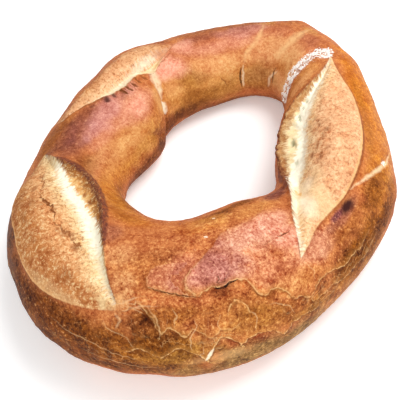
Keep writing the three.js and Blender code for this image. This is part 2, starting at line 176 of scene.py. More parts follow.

# Baking colours by area, with painted light among them: rose, pink and mauve, on the plates too, are
# crust tone with a painted pinkish sheen on the tops, and dark and umber far down the walls are partly
# painted shade. For each tone: clock angle, mm over the crust, half-widths in degrees and mm, amount.
# Tones that start with plate belong to lifted plates of skin, and stop at the flake's edge.
patches = {
    "mottled": [
        [110, 60, 90, 40, 0.7], [20, 60, 50, 34, 0.6], [180, -60, 60, 24, 0.4], [262, 30, 38, 60, 1],
        [305, 40, 30, 34, 0.6], [215, 70, 40, 40, 0.9],
    ],
    "gold": [
        [60, 46, 60, 12, 0.55], [140, 58, 26, 14, 0.5], [100, -38, 34, 18, 0.85], [66.5, 9, 3, 7, 0.6],
        [50.5, 12, 4, 7, 0.6], [53, -30, 8, 15, 0.6], [33, -22, 6, 22, 0.45], [165, -43, 24, 14, 0.95],
        [186, -42, 24, 13, 0.35], [205, -38, 20, 12, 0.6], [220, -32, 14, 8, 0.3], [275, -18, 14, 8, 0.35],
        [268, 48, 9, 7, 0.4], [282, 36, 7, 7, 0.5], [277, 57, 12, 4, 0.4], [338, 40, 10, 9, 0.5],
        [352, 35, 32, 9, 0.7], [342, 25, 18, 7, 0.5],
    ],
    # umber: darker bake; the patches far down the walls and under the hole side are partly painted shade
    "umber": [
        [75, 30, 26, 9, 0.5], [118, 44, 20, 12, 0.55], [30, 60, 26, 12, 0.5], [340, 60, 20, 10, 0.5],
        [178, 60, 18, 14, 0.6], [215, -54, 30, 12, 0.6], [350, -62, 34, 14, 0.6], [30, -62, 20, 14, 0.6],
        [99, -46, 12, 7, 0.65], [104, -30, 7, 10, 0.4], [140, -52, 14, 7, 0.5], [171, 16, 12, 12, 0.6],
        [188, -22, 10, 6, 0.4], [216, -38, 8, 8, 0.35], [224, -25, 9, 6, 0.4], [262, -27, 14, 6, 0.55],
        [240, 14, 9, 16, 0.25], [252, 36, 8, 5, 0.6], [264, 40, 13, 8, 0.45], [270, 50, 8, 6, 0.5],
        [282, 54, 9, 9, 0.5], [240, 56, 15, 16, 0.85], [222, 70, 18, 16, 0.8], [252, 74, 12, 8, 0.5],
        [314, 47, 22, 10, 0.9], [322, 34, 12, 8, 0.45], [308, 26, 8, 8, 0.4], [352, 22, 26, 4, 0.35],
        [308, 47, 16, 11, 0.8], [234, 62, 15, 14, 0.65], [48, 3, 8, 9, 0.3],
    ],
    # dark: darker bake; the patches low on the outer walls and under the hole side are partly painted shade
    "dark": [
        [160, 44, 14, 12, 0.6], [95, 62, 24, 10, 0.45], [8, 66, 18, 10, 0.5], [55, 70, 22, 9, 0.4],
        [270, -52, 34, 12, 0.6], [80, -62, 30, 5, 0.6], [104, -57, 18, 8, 0.75], [124, -60, 16, 8, 0.75],
        [82, 14, 32, 7, 0.4], [64, 3, 8, 6, 0.2], [187, -16, 7, 6, 0.4], [160, -66, 34, 8, 0.8],
        [246, 2, 7, 7, 0.25], [292, -24, 7, 5, 0.3], [272, -31, 14, 4, 0.75], [245, 41, 5, 7, 0.7],
        [263, 29, 4, 3, 0.35], [252, 52, 4, 7, 0.5], [242, 52, 7, 8, 0.5], [268, 44, 4, 3, 0.35],
        [230, 60, 12, 18, 0.7], [216, 52, 13, 12, 1], [200, 48, 16, 15, 1], [205, 78, 34, 26, 0.9],
        [238, 75, 20, 10, 0.85], [268, 64, 6, 3, 0.4], [306, 40, 14, 12, 0.35], [316, 48, 18, 7, 0.6],
        [286, 57, 8, 4, 0.4], [296, 44, 9, 7, 0.35], [322, 30, 9, 7, 0.6],
    ],
    "olive": [
        [128, 74, 26, 10, 0.5], [66, -42, 9, 13, 0.5], [86, -46, 9, 8, 0.3], [97, -31, 8, 6, 0.3],
        [250, 62, 12, 16, 0.9], [300, 56, 16, 7, 0.4],
    ],
    # rose, pink and mauve: crust tone with painted sheen, the pinkish reflection of the light above on the
    # tops
    "roseSheen": [
        [253.5, 12, 4.5, 10, 0.55], [95, -6, 24, 9, 0.4], [62, -2, 10, 8, 0.35], [47, 2, 7, 10, 0.4],
        [160, -8, 12, 8, 0.35],
    ],
    "pinkSheen": [
        [102, -2, 6, 8, 0.6], [113, -18, 11, 10, 0.95], [84, -11, 16, 6, 0.3], [144, -25, 13, 10, 0.8],
        [156, -18, 14, 7, 0.3], [172, -18, 8, 5, 0.25], [279, -2, 10, 8, 0.55], [284, 12, 6, 9, 0.6],
    ],
    "mauveSheen": [[76, 0, 10, 7, 0.35], [157, -9, 15, 8, 0.6], [139, -15, 6, 5, 0.4], [168, -10, 8, 6, 0.35]],
    "honey": [
        [90, -24, 12, 14, 0.25], [54, -38, 7, 8, 0.4], [58, -18, 14, 13, 0.55], [86, -25, 18, 7, 0.3],
        [54, -42, 6, 10, 0.4], [66, -38, 9, 6, 0.3], [114, -34, 8, 7, 0.3], [31, -24, 4, 14, 0.4],
        [170, -37, 20, 8, 0.4], [186, -25, 16, 6, 0.35], [258, -22, 9, 6, 0.35], [239, 22, 3.5, 9, 0.45],
        [236, 3, 4, 8, 0.35],
    ],
    "plum": [
        [88, 3, 16, 6, 0.35], [165, 0, 11, 8, 0.55], [177, -6, 7, 8, 0.5], [172, 4, 9, 12, 0.45],
        [229, -8, 4, 7, 0.45], [291, -24, 8, 7, 0.7], [308, 20, 8, 4, 0.55],
    ],
    "pale": [[128, -38, 4, 10, 0.35], [261, 69, 7, 4, 0.3], [239, 31, 3, 5, 0.35]],
    "amber": [
        [184, -46, 22, 13, 0.45], [211, -37, 14, 9, 0.6], [229, -25, 12, 7, 0.5], [256, -21, 10, 9, 0.45],
        [350, 30, 34, 14, 0.8], [20, 24, 22, 12, 0.9], [322, 42, 9, 10, 0.45],
    ],
    "base": [[276, 76, 16, 12, 0.95], [302, 68, 18, 9, 0.5], [258, 82, 10, 10, 0.7]],
    "porous": [[337, -10, 22, 6, 1]],
    "cream": [
        [303, 1, 6, 14, 0.35], [183.5, 4, 4, 6, 0.5], [234, 12, 5, 12, 0.35], [225, 37, 9, 3.5, 0.2],
        [312, -8, 6, 6, 0.3],
    ],
    "toast": [[336, -9, 20, 4.5, 0.15], [142, 13, 14, 5, 0.4]],
    "milky": [[305, -12, 7, 6, 0.45], [297, -3, 5, 10, 0.55]],
    "closed": [
        [104, 3, 6, 12, 0.9], [110, -6, 6, 9, 0.75], [240.5, 34.5, 2.6, 5, 0.6], [162, 21, 2.4, 5, 0.5],
    ],
    # the plates' rose, pink and mauve: crust tone with painted sheen on their lifted tops
    "plateRoseSheen": [[250, 15, 7, 12, 0.7], [269, 18, 9, 16, 0.6], [280, 30, 6, 12, 0.35]],
    "plateMauveSheen": [[260, 16, 8, 14, 0.75]],
    "platePinkSheen": [
        [270, 3, 8, 9, 0.5], [281, 3, 8, 13, 0.35], [268, 20, 4, 7, 0.35], [289, 22, 8, 9, 0.35],
    ],
}

# Small spots. For each tone: clock angle, mm over the crust, half-widths in mm along the ring and
# over it, amount, depth.
spots = {
    "burn": [
        [310.2, 18.6, 5.6, 2.6, 1, 0.8], [148.2, -7.8, 1.2, 1.6, 0.8, 0.6],
        [152, -5.6, 1.9, 1.7, 0.9, 0.8], [157, 1, 1.2, 1.3, 0.6, 0.4],
    ],
    "plum": [[305, 17.2, 6.5, 2, 0.95, 0]],
    "dark": [[144, -13, 5, 2.4, 0.5, 0.2]],
    # pits: grey-olive spots in the torn crumb, painted shade in its holes, over a small dent
    "pitShade": [
        [344.5, -33.6, 4.4, 1.2, 0.95, 1.2], [340, -31, 3, 0.8, 0.5, 0.6], [324, -29.5, 2, 0.9, 0.7, 0.6],
        [9, -25.4, 3.2, 1, 0.8, 0.6], [14, -21, 2, 0.8, 0.7, 0.5], [17.5, -17.4, 1.9, 0.9, 0.85, 0.5],
        [22, -12.2, 0.9, 0.7, 0.6, 0.3], [210, -8, 2, 0.9, 0.25, 0], [193, -7, 1.6, 0.7, 0.35, 0.3],
    ],
    "scorch": [
        [206, -18.4, 1.8, 1.6, 0.85, 0.7], [211.5, -18.6, 2, 1.4, 0.9, 0.7],
        [201.5, -20, 1.4, 1.2, 0.6, 0.4], [312, -33, 3, 1.6, 0.6, 0.4], [318, -37.6, 3, 1.6, 0.7, 0.5],
        [309.5, -30, 2, 1.4, 0.35, 0.3], [325, -39, 2.6, 1.2, 0.6, 0.4], [325, -14.5, 2.2, 1.2, 0.7, 0.4],
        [330.5, -11.8, 3, 0.9, 0.85, 0.6], [322.5, -8.4, 3.4, 0.8, 0.85, 0.6],
        [348, -10.8, 1.8, 0.9, 0.85, 0.6], [353, -11.2, 2.2, 0.9, 0.9, 0.6], [342, -6, 2.2, 1.6, 0.7, 0.5],
        [329, -4.4, 1.6, 1, 0.6, 0.4], [337, -8.6, 3, 0.8, 0.6, 0.5], [206, 21, 5, 2, 0.45, 0.3],
        [214, 23, 4, 1.8, 0.4, 0.3], [226, 26, 6, 3, 0.35, 0.2], [202, 14, 3, 2.4, 0.35, 0.2],
        [196, 12, 2.6, 1.8, 0.5, 0.3], [190, 9.6, 2.2, 2, 0.5, 0.2], [209, 5, 2.4, 1.8, 0.45, 0.3],
        [218, 8.5, 3.4, 1.6, 0.5, 0.3], [224, 11, 2.8, 1.6, 0.45, 0.2], [216, 9.4, 1.4, 1.2, 0.6, 0.4],
        [220, 6, 1.4, 1, 0.6, 0.4], [224, 9, 1.6, 1.2, 0.5, 0.3], [205, 9.6, 1.4, 1, 0.5, 0.3],
    ],
    "pores": [
        [364, -8.2, 4, 1, 0.5, 0.3], [371, -6.4, 3.4, 0.9, 0.5, 0.3], [311, -7.8, 3.6, 0.7, 0.7, 0.4],
        [318, -6, 2.4, 0.8, 0.5, 0.3], [350, -6.4, 2.4, 0.6, 0.5, 0.3], [357, -12.8, 2, 0.7, 0.4, 0.3],
    ],
    "milky": [[297.6, -8, 3, 6, 0.8, -0.8]],
    "cream": [[237, 32, 2, 3, 0.5, 0]],
    "crack": [[240.4, 77.5, 1.4, 1.6, 0.9, 0.4]],
}

# What each row of the two lists below says: lengths in mm, warm from black to red-brown, and the path
# as [clock angle, mm over the crust].
lineKeys = {
    "dark": ("width", "wander", "depth", "warm", "amount", "path"),
    "pale": ("width", "soft", "wander", "white", "amount", "path"),
}

# Cracks and tears.
darkLines = [
    [1.1, 0.3, 0.9, 0.45, 1, [[144.2, -8.8], [143.4, -11.6], [142, -15.2]]],
    [1.05, 0.3, 0.9, 0.5, 0.95, [[140.2, -10.6], [139.4, -13.6], [138, -17]]],
    [0.9, 0.3, 0.8, 0.55, 0.9, [[136.4, -11.4], [135.4, -14.6], [133.6, -18.4]]],
    [0.8, 0.3, 0.6, 0.6, 0.8, [[132.6, -12.6], [131.4, -15.4], [130, -18.6]]],
    [0.7, 0.3, 0.5, 0.6, 0.7, [[128.6, -14.6], [127.2, -17.2], [125.4, -20.4]]],
    [0.6, 1.2, 0.9, 0.8, 0.8, [[187, 12], [191, 8.8], [194, 7], [197, 7.2], [200, 8.6], [202, 8]]],
    [1.15, 1.4, 1.5, 0.7, 1, [[200.6, 9.4], [202.5, 7.5], [205.3, 6.6], [207, 4.8], [208.8, 5.6],
        [210.4, 4.6], [212.4, 6.7]]],
    [0.8, 1.8, 1, 0.85, 0.85, [[211.6, 5.6], [213.4, 8.6], [215.2, 6.2], [217.2, 8.4], [219, 6.6],
        [221.4, 8.8], [223, 7.4], [226, 10.6]]],
    [0.55, 0.4, 0.9, 0.35, 1, [[244.8, 20.4], [246.8, 21.4], [249.2, 23.6], [251.4, 25.2], [254, 27],
        [256, 28.8], [257.6, 29.6]]],
    [0.5, 0.3, 0.6, 0.35, 0.9, [[260.5, 25.7], [261.2, 24.4], [262.2, 22.8], [262, 21], [261.3, 20]]],
    [0.85, 0.3, 1.6, 0, 1, [[261, 26.6], [262.2, 27.4], [263.6, 27.5], [264.6, 26], [266.8, 25.3]]],
    [0.5, 0.3, 0.7, 0.4, 1, [[280.3, 8.9], [282, 8.9], [284, 8.5], [285.8, 8]]],
    [0.42, 0.3, 0.4, 0.6, 0.7, [[275, 10.8], [277, 10.4], [279, 9.2]]],
    [0.5, 0.5, 0.5, 0.7, 0.8, [[269.8, 32.5], [271, 36], [272.4, 38.4], [273.4, 38.6]]],
    [0.55, 0.5, 0.6, 0.8, 0.75, [[81.5, -44], [83.5, -38], [86, -33]]],
    [0.55, 0.6, 0.6, 0.9, 0.6, [[105.5, -4], [108, -8], [112, -12.5], [115, -14.6], [117.5, -17]]],
    [0.75, 0.5, 0.9, 0.1, 0.9, [[74.8, -30.5], [75.2, -38], [74.8, -48]]],
    [0.8, 0.6, 0.9, 0.2, 0.8, [[57.8, -31.5], [58.8, -36], [58.8, -45]]],
    [0.5, 0.4, 0.4, 0.8, 0.7, [[300, 14.2], [308, 14.4], [318, 15.8], [330, 17], [345, 17.2], [358, 19.2],
        [366, 18.6], [375, 16.6], [382, 12.4]]],
]

# Pale seams and stretched skin.
paleLines = [
    [0.7, 0.7, 0.4, 0.7, 1, [[260.6, 60], [259.8, 64], [258.6, 69.5]]],
    [1.2, 0.6, 0, 1, 1, [[257.7, -7], [258.4, -6]]],
    [0.9, 0.6, 0, 0.6, 1, [[259.4, -23.8], [259.8, -23]]],
    [0.1, 0.9, 1.5, 0.2, 0.42, [[239, 33], [242, 29], [244.6, 25.6]]],
    [0.1, 0.9, 1.5, 0.2, 0.38, [[241, 34], [245, 31.6], [249, 31.2]]],
    [0.1, 0.9, 1.5, 0.2, 0.38, [[240, 35.6], [241.6, 40.4], [240.6, 45]]],
    [0.05, 0.5, 0.9, 0.1, 0.4, [[285.5, 28], [288, 34], [287, 40]]],
    [1.4, 2.8, 1, 0.45, 0.9, [[121.6, -14], [121.6, -20], [122, -24], [123.2, -31], [124.2, -38]]],
    [1.1, 2.2, 0.8, 0.8, 0.9, [[124.4, -36], [125, -43], [125.6, -50]]],
    [0.2, 2.8, 0.8, 0.05, 0.6, [[68.4, 6], [68.3, -8], [69.6, -14], [72.4, -20], [73.6, -29]]],
    [0.4, 4.4, 0.8, 0.05, 0.7, [[51.5, 14], [53, 0], [55, -8], [57, -18], [58.6, -27]]],
    [0.7, 0.8, 0.4, 0, 0.9, [[304, -19.5], [302.6, -16], [303, -12.4], [301.4, -9.6]]],
    [0.3, 0.9, 0.5, 0.5, 0.8, [[73.8, -29], [74, -38], [73.6, -48]]],
    [0.4, 1, 0.6, 0.5, 0.6, [[56.4, -33], [57.6, -36], [60.6, -40], [61, -50]]],
    [0.5, 1.4, 0.6, 0.3, 0.8, [[349, 48], [341, 41], [334, 33], [329, 27.5], [324, 22.5], [319, 17.5],
        [315, 14.6]]],
    [0.05, 0.5, 0.9, 0.1, 0.45, [[240.6, 27], [243, 32], [246, 35.6]]],
    [0.05, 0.5, 0.9, 0.1, 0.45, [[246.6, 32], [248.2, 36.4], [249.6, 42], [250.2, 50]]],
    [0.05, 0.5, 0.9, 0.2, 0.45, [[256.6, 40], [257.4, 45], [255.8, 52], [256.6, 60]]],
    [0.05, 0.5, 0.9, 0.1, 0.45, [[251.6, 33], [253, 38], [252.6, 44]]],
    [0.05, 0.5, 0.9, 0.1, 0.45, [[262.4, 41], [261.4, 46], [262.6, 51]]],
    [0.05, 0.5, 0.9, 0.2, 0.45, [[269, 44], [270.2, 49], [269.4, 56]]],
    [0.05, 0.5, 0.9, 0.1, 0.45, [[273, 43], [276, 45], [278.6, 49], [279.4, 55]]],
    [0.05, 0.5, 0.9, 0.1, 0.45, [[226, 52], [231, 56], [236, 57], [241, 62], [246, 64]]],
    [0.05, 0.5, 0.9, 0.1, 0.45, [[233, 66], [239, 68], [245, 72], [251, 72]]],
    [0.05, 0.5, 0.9, 0.1, 0.45, [[237.6, 40], [239, 46], [243.6, 49], [245, 55]]],
]

# Flakes of skin lifted along an edge, which is followed with the flake on its right hand as seen
# from outside. The shade of each is painted shadow on the skin just below its edge.
flakes = {
    "corner": {"lift": 0.7, "reach": 8, "pale": 0.5, "paleFrom": 10, "shade": 0.4, "edge": [
        [252, 8.4], [250, 8], [246.5, 8.4], [245, 11], [244.6, 15], [245.4, 21], [248, 22.6],
        [250.5, 24.8], [253, 26.2], [255.5, 28.6], [257.3, 29.6],
    ]},
    "rosePlate": {"lift": 1, "reach": 8, "pale": 0.65, "paleFrom": 6, "shade": 0.45, "edge": [
        [286, -30], [281.5, -20], [277.5, -10.5], [272, -8], [267, -7.6], [263.6, -6.6], [261.6, -2],
        [260.2, 2.9], [258.4, 6.6], [257, 9.8], [255, 13], [254, 18.5], [254.6, 24], [257.3, 29.6],
        [258.6, 27], [260.4, 25.8], [262, 27.2], [263.6, 27.3], [265, 25.8], [267, 25.2], [268.6, 27.4],
        [270, 31.5], [271.2, 35.6], [273, 38.4], [274.5, 36.6], [276, 35.6], [277.6, 38.2], [279, 42],
        [280.2, 46], [281.6, 44.6], [283.6, 47.4], [285.4, 52.6], [287, 51], [290, 50.3], [294, 49.8],
        [298, 51], [303, 49.5], [309, 50.5], [315, 47],
    ]},
    "skirt": {"lift": 1.5, "reach": 7, "pale": 1, "paleFrom": 0, "shade": 0.7, "edge": [
        [243, 60], [246, 55], [248.6, 59], [250.6, 62.4], [253, 56], [255.2, 58.6], [257, 62], [258.6, 66],
        [259.2, 69.5], [260.2, 63], [261, 58.5], [262, 54.6], [263.4, 55.8], [265, 59.5], [266.3, 64.4],
        [268, 60.2], [270, 58.3], [272.5, 59.8], [274.6, 62.4], [276, 67], [277.2, 64], [278.4, 60.5],
        [280.4, 58.2], [284, 58.5], [288, 56], [293, 55],
    ]},
    "arch": {"lift": 0.7, "reach": 4, "pale": 0.8, "paleFrom": 0, "shade": 0.4, "edge": [
        [269, 45], [268.4, 41], [267.2, 37.6], [265.4, 35.2], [264.4, 38], [263.6, 42.4],
    ]},
    "farScallops": {"lift": 0.8, "reach": 6, "pale": 0.7, "paleFrom": 0, "shade": 0.5, "edge": [
        [283.8, 50], [285, 47.5], [286.8, 44], [288.8, 41.4], [291, 39.8], [294, 40.6], [298, 43.4],
        [302, 41.5], [307, 43], [312, 40],
    ]},
    "underSlash": {"lift": 0.7, "reach": 5, "pale": 0.55, "paleFrom": 0, "shade": 0.55, "edge": [
        [240.5, 36], [242.5, 33], [244.5, 29.5], [246, 33], [247.8, 38], [249, 43], [250.4, 47.5],
        [251.6, 43], [253.4, 46.5], [255, 51], [256.6, 46.5], [258.6, 50.5], [260.2, 54], [262.2, 49.5],
        [264.6, 52], [266.4, 49],
    ]},
}

# Flour lies this far to either side of these lines, in mm.
dustLines = [
    [5, [[36, 9], [37.6, 4], [39.6, -1], [41, -8], [42, -17], [43.6, -24]]],
    [5, [[43.6, -24], [44.8, -32], [45.6, -40], [46, -47]]],
    [1.6, [[336, 34.4], [338.5, 37]]],
]


def ease(x):
    share = np.clip(x, 0.0, 1.0)
    return share * share * (3.0 - 2.0 * share)


def tapered(share, power):
    # full in the middle of a line and nought at both its ends
    return np.sin(np.pi * np.clip(share, 0.0, 1.0)) ** power


def unwrapped(clock, start):
    return start + (clock - start) % 360.0


def ringSpline(values, clock):
    count = len(values)
    bend = [0.0] * count
    sweeps = 40
    for sweep in range(sweeps):
        for i in range(count):
            second = values[i - 1] - 2 * values[i] + values[(i + 1) % count]
            bend[i] = (6 * second - bend[i - 1] - bend[(i + 1) % count]) / 4
    values, bend = np.array(values, float), np.array(bend)
    place = (clock / 360.0 % 1.0) * count
    i = np.floor(place).astype(int) % count
    j = (i + 1) % count
    f = place - np.floor(place)
    g = 1 - f
    return g * values[i] + f * values[j] + ((g ** 3 - g) * bend[i] + (f ** 3 - f) * bend[j]) / 6


def openCurve(knots, x):
    knots = np.array(knots, float)
    kx, ky = knots[:, 0], knots[:, 1]
    before = np.maximum(np.arange(len(kx)) - 1, 0)
    after = np.minimum(np.arange(len(kx)) + 1, len(kx) - 1)
    slope = (ky[after] - ky[before]) / (kx[after] - kx[before])
    x = np.clip(x, kx[0], kx[-1])
    i = np.clip(np.searchsorted(kx, x, side="left") - 1, 0, len(kx) - 2)
    span = kx[i + 1] - kx[i]
    f = (x - kx[i]) / span
    rise = ky[i] * (1 - ease(f)) + ky[i + 1] * ease(f)
    return rise + slope[i] * span * f * (1 - f) ** 2 - slope[i + 1] * span * f * f * (1 - f)


def sections(clock):
    # outlines of the undisturbed section, from under the hole side over the crown to the outer side
    steps = 180
    half = ringSpline(ring["sectionWidth"], clock)[:, None] / 2
    height = ring["heightAtNoWidth"] + ring["heightPerWidth"] * half * 2
    level = ring["widestLevel"] * height
    angle = np.radians(90 - 180 * np.arange(steps + 1) / steps)[None, :]
    power = np.where(angle >= 0, ring["topPower"], ring["basePower"])
    out = half * np.abs(np.cos(angle)) ** (2 / power)
    reach = np.where(angle >= 0, height - level, level)
    rise = level + np.sign(angle) * reach * np.abs(np.sin(angle)) ** (2 / power)
    length = np.hypot(np.diff(out), np.diff(rise)).cumsum(axis=1)
    length = np.concatenate([np.zeros((len(clock), 1)), length], axis=1)
    mirrored = lambda a, sign: np.concatenate([sign * a[:, :0:-1], a], axis=1)
    return mirrored(length, -1), mirrored(out, -1), mirrored(rise, 1)


def crustAt(clock, along):
    # places on the undisturbed crust, their normals and the direction in which "along" grows
    length, out, rise = sections(clock)
    flat = np.zeros((3,) + along.shape + (2,))
    for i in range(len(clock)):
        for k, shift in enumerate((0.0, -1.0, 1.0)):
            flat[k, i, :, 0] = np.interp(along[i] + shift, length[i], out[i])
            flat[k, i, :, 1] = np.interp(along[i] + shift, length[i], rise[i])
    run = flat[2] - flat[1]
    run /= np.linalg.norm(run, axis=-1, keepdims=True)
    radius = ringSpline(ring["centreRadius"], clock)[:, None] + flat[0, :, :, 0]
    cos, sin = np.cos(np.radians(clock))[:, None], np.sin(np.radians(clock))[:, None]
    place = np.stack([radius * cos, radius * sin, flat[0, :, :, 1]], axis=-1)
    normal = np.stack([-run[..., 1] * cos, -run[..., 1] * sin, run[..., 0]], axis=-1)
    tangent = np.stack([run[..., 0] * cos, run[..., 0] * sin, run[..., 1]], axis=-1)
    return place, normal, tangent


def spotsAt(pairs):
    pairs = np.array(pairs, float)
    return crustAt(pairs[:, 0], pairs[:, 1:2])[0][:, 0, :]


def fromLine(path, where=slice(None), shift=(0.0, 0.0)):
    # for each place on the crust: gap to a line over it, how far along the line that is, the line's
    # length, and the side of it that the place is on
    path = np.array(path, float)
    turned = unwrapped(clockAll[where], path[:, 0].mean() - 180) + shift[0] / mmPerDegree[where]
    up = along[where] + shift[1]
    legs = np.linalg.norm(np.diff(spotsAt(path), axis=0), axis=1)
    done = np.concatenate([[0.0], legs.cumsum()])
    gap = np.full(len(up), np.inf)
    passed, side = np.zeros(len(up)), np.ones(len(up))
    for i in range(len(path) - 1):
        startX, startY = (path[i, 0] - turned) * mmPerDegree[where], path[i, 1] - up
        legX, legY = (path[i + 1, 0] - path[i, 0]) * mmPerDegree[where], path[i + 1, 1] - path[i, 1]
        squared = np.maximum(legX ** 2 + legY ** 2, 1e-9)
        part = np.clip(-(startX * legX + startY * legY) / squared, 0, 1)
        off = np.hypot(startX + part * legX, startY + part * legY)
        closer = off < gap
        gap[closer] = off[closer]
        passed[closer] = (done[i] + part * legs[i])[closer]
        side[closer] = np.where(startX * legY > startY * legX, -1.0, 1.0)[closer]
    return gap, passed, done[-1], side


def cellNoise(x, y, z):
    mixed = np.sin(x * 127.1 + y * 311.7 + z * 74.7) * 43758.5453
    return 2 * (mixed - np.floor(mixed)) - 1


def softNoise(points, size, shift=0.0):
    p = points / size + shift
    cell = np.floor(p)
    f = ease(p - cell)
    total = np.zeros(p.shape[:-1])
    for dx in (0, 1):
        for dy in (0, 1):
            for dz in (0, 1):
                corner = np.array([dx, dy, dz])
                share = np.abs(1 - corner - f).prod(axis=-1)
                total += share * cellNoise(*np.moveaxis(cell + corner, -1, 0))
    return total


def scales(points, size, shift=0.0):
    # cracked cells: the gap between the nearest two centres in cell sizes, the cell's own number, and
    # how far the neighbour's centre lies below
    scatter = 0.42
    p = points / size + shift
    cell = np.floor(p)
    first = np.full(p.shape[:-1], np.inf)
    second = np.full(p.shape[:-1], np.inf)
    own, level, nextLevel = (np.zeros(p.shape[:-1]) for i in range(3))
    for dx in (-1, 0, 1):
        for dy in (-1, 0, 1):
            for dz in (-1, 0, 1):
                c = cell + np.array([dx, dy, dz])
                centre = [cellNoise(c[..., 0] + k, c[..., 1] - k, c[..., 2] + 3 * k) for k in (11, 23, 37)]
                centre = np.stack(centre, -1)
                spot = c + 0.5 + scatter * centre
                far = np.linalg.norm(spot - p, axis=-1)
                nearer = far < first
                runnerUp = ~nearer & (far < second)
                nextLevel = np.where(nearer, level, np.where(runnerUp, spot[..., 2], nextLevel))
                second = np.where(nearer, first, np.where(runnerUp, far, second))
                level = np.where(nearer, spot[..., 2], level)
                own = np.where(nearer, centre[..., 0], own)
                first = np.where(nearer, far, first)
    return second - first, own, level - nextLevel


def lipRow(clock):
    # the mesh row that follows the three lips, evened out over a few degrees
    firstClock = 100
    knots = [[unwrapped(row[0], firstClock), row[1]] for slash in slashes.values() for row in slash["edges"]]
    knots.sort()
    knots = [[knots[-1][0] - 360, knots[-1][1]]] + knots + [[knots[0][0] + 360, knots[0][1]]]
    shifts = (-3, -1.5, 0, 1.5, 3)
    return sum(openCurve(knots, unwrapped(clock + shift, firstClock)) for shift in shifts) / len(shifts)


print("making the crust grid")
clock = 360.0 * np.arange(ring["columns"]) / ring["columns"]
girth = sections(clock)[0][:, -1]
lip = lipRow(clock)
rowCount = ring["rowsOut"] + ring["rowsIn"]
shareOut = np.arange(ring["rowsOut"]) / ring["rowsOut"]
shareIn = (rowCount - np.arange(ring["rowsOut"], rowCount)) / ring["rowsIn"]
spread = lambda share: ring["spread"] * share + (1 - ring["spread"]) * share ** 3
along = np.concatenate([
    lip[:, None] + (girth - lip)[:, None] * spread(shareOut)[None, :],
    lip[:, None] - (girth + lip)[:, None] * spread(shareIn)[None, :],
], axis=1)
place, normal, tangent = crustAt(clock, along)
shape = along.shape
clockAll = np.repeat(clock[:, None], rowCount, axis=1).ravel()
along = along.ravel()
place, normal, tangent = (a.reshape(-1, 3) for a in (place, normal, tangent))
height = np.zeros(len(along))
lean = np.zeros(len(along))
mmPerDegree = np.radians(1) * np.hypot(place[:, 0], place[:, 1])
ragged = [crust["raggedness"] * (
    softNoise(place, crust["raggedSize"], seed)
    + crust["fineRagged"] * softNoise(place, crust["raggedFiner"], seed)) for seed in (5, 31)]
skinTones = ["gold", "honey", "amber", "olive", "umber", "dark", "roseSheen", "plum", "pinkSheen", "mauveSheen", "base",
             "plateRoseSheen", "platePinkSheen", "plateMauveSheen"]
tones = {name: np.zeros(len(along)) for name in skinTones + [
    "mottled", "pale", "porous", "closed", "charred", "creaming", "toast", "rosyCrumb", "wallCream",
    "stripWhite", "scorch", "pores", "cream", "milky", "rimPaleHighlight", "rimShadow", "pitShade", "burn", "crack"]}

# Distances in mm that the material turns into crisp edges: above nought inside the thing named and
# below it outside.
fields = {name: np.full(len(along), float(start)) for name, start in (
    ("cut", -50), ("wall", -9), ("strip", -9), ("stripFoot", -9), ("ear", -9), ("scorched", -9),
    ("rimGap", -9), ("flour", -9), ("flake", 9), ("darkGap", 9), ("paleGap", 9))}
cutWay = np.zeros((len(along), 3))  # mm along the crease, mm across it, and which slash it is


def raiseTone(name, amount, where=slice(None)):
    tones[name][where] = 1 - (1 - tones[name][where]) * (1 - np.clip(amount, 0, 1))


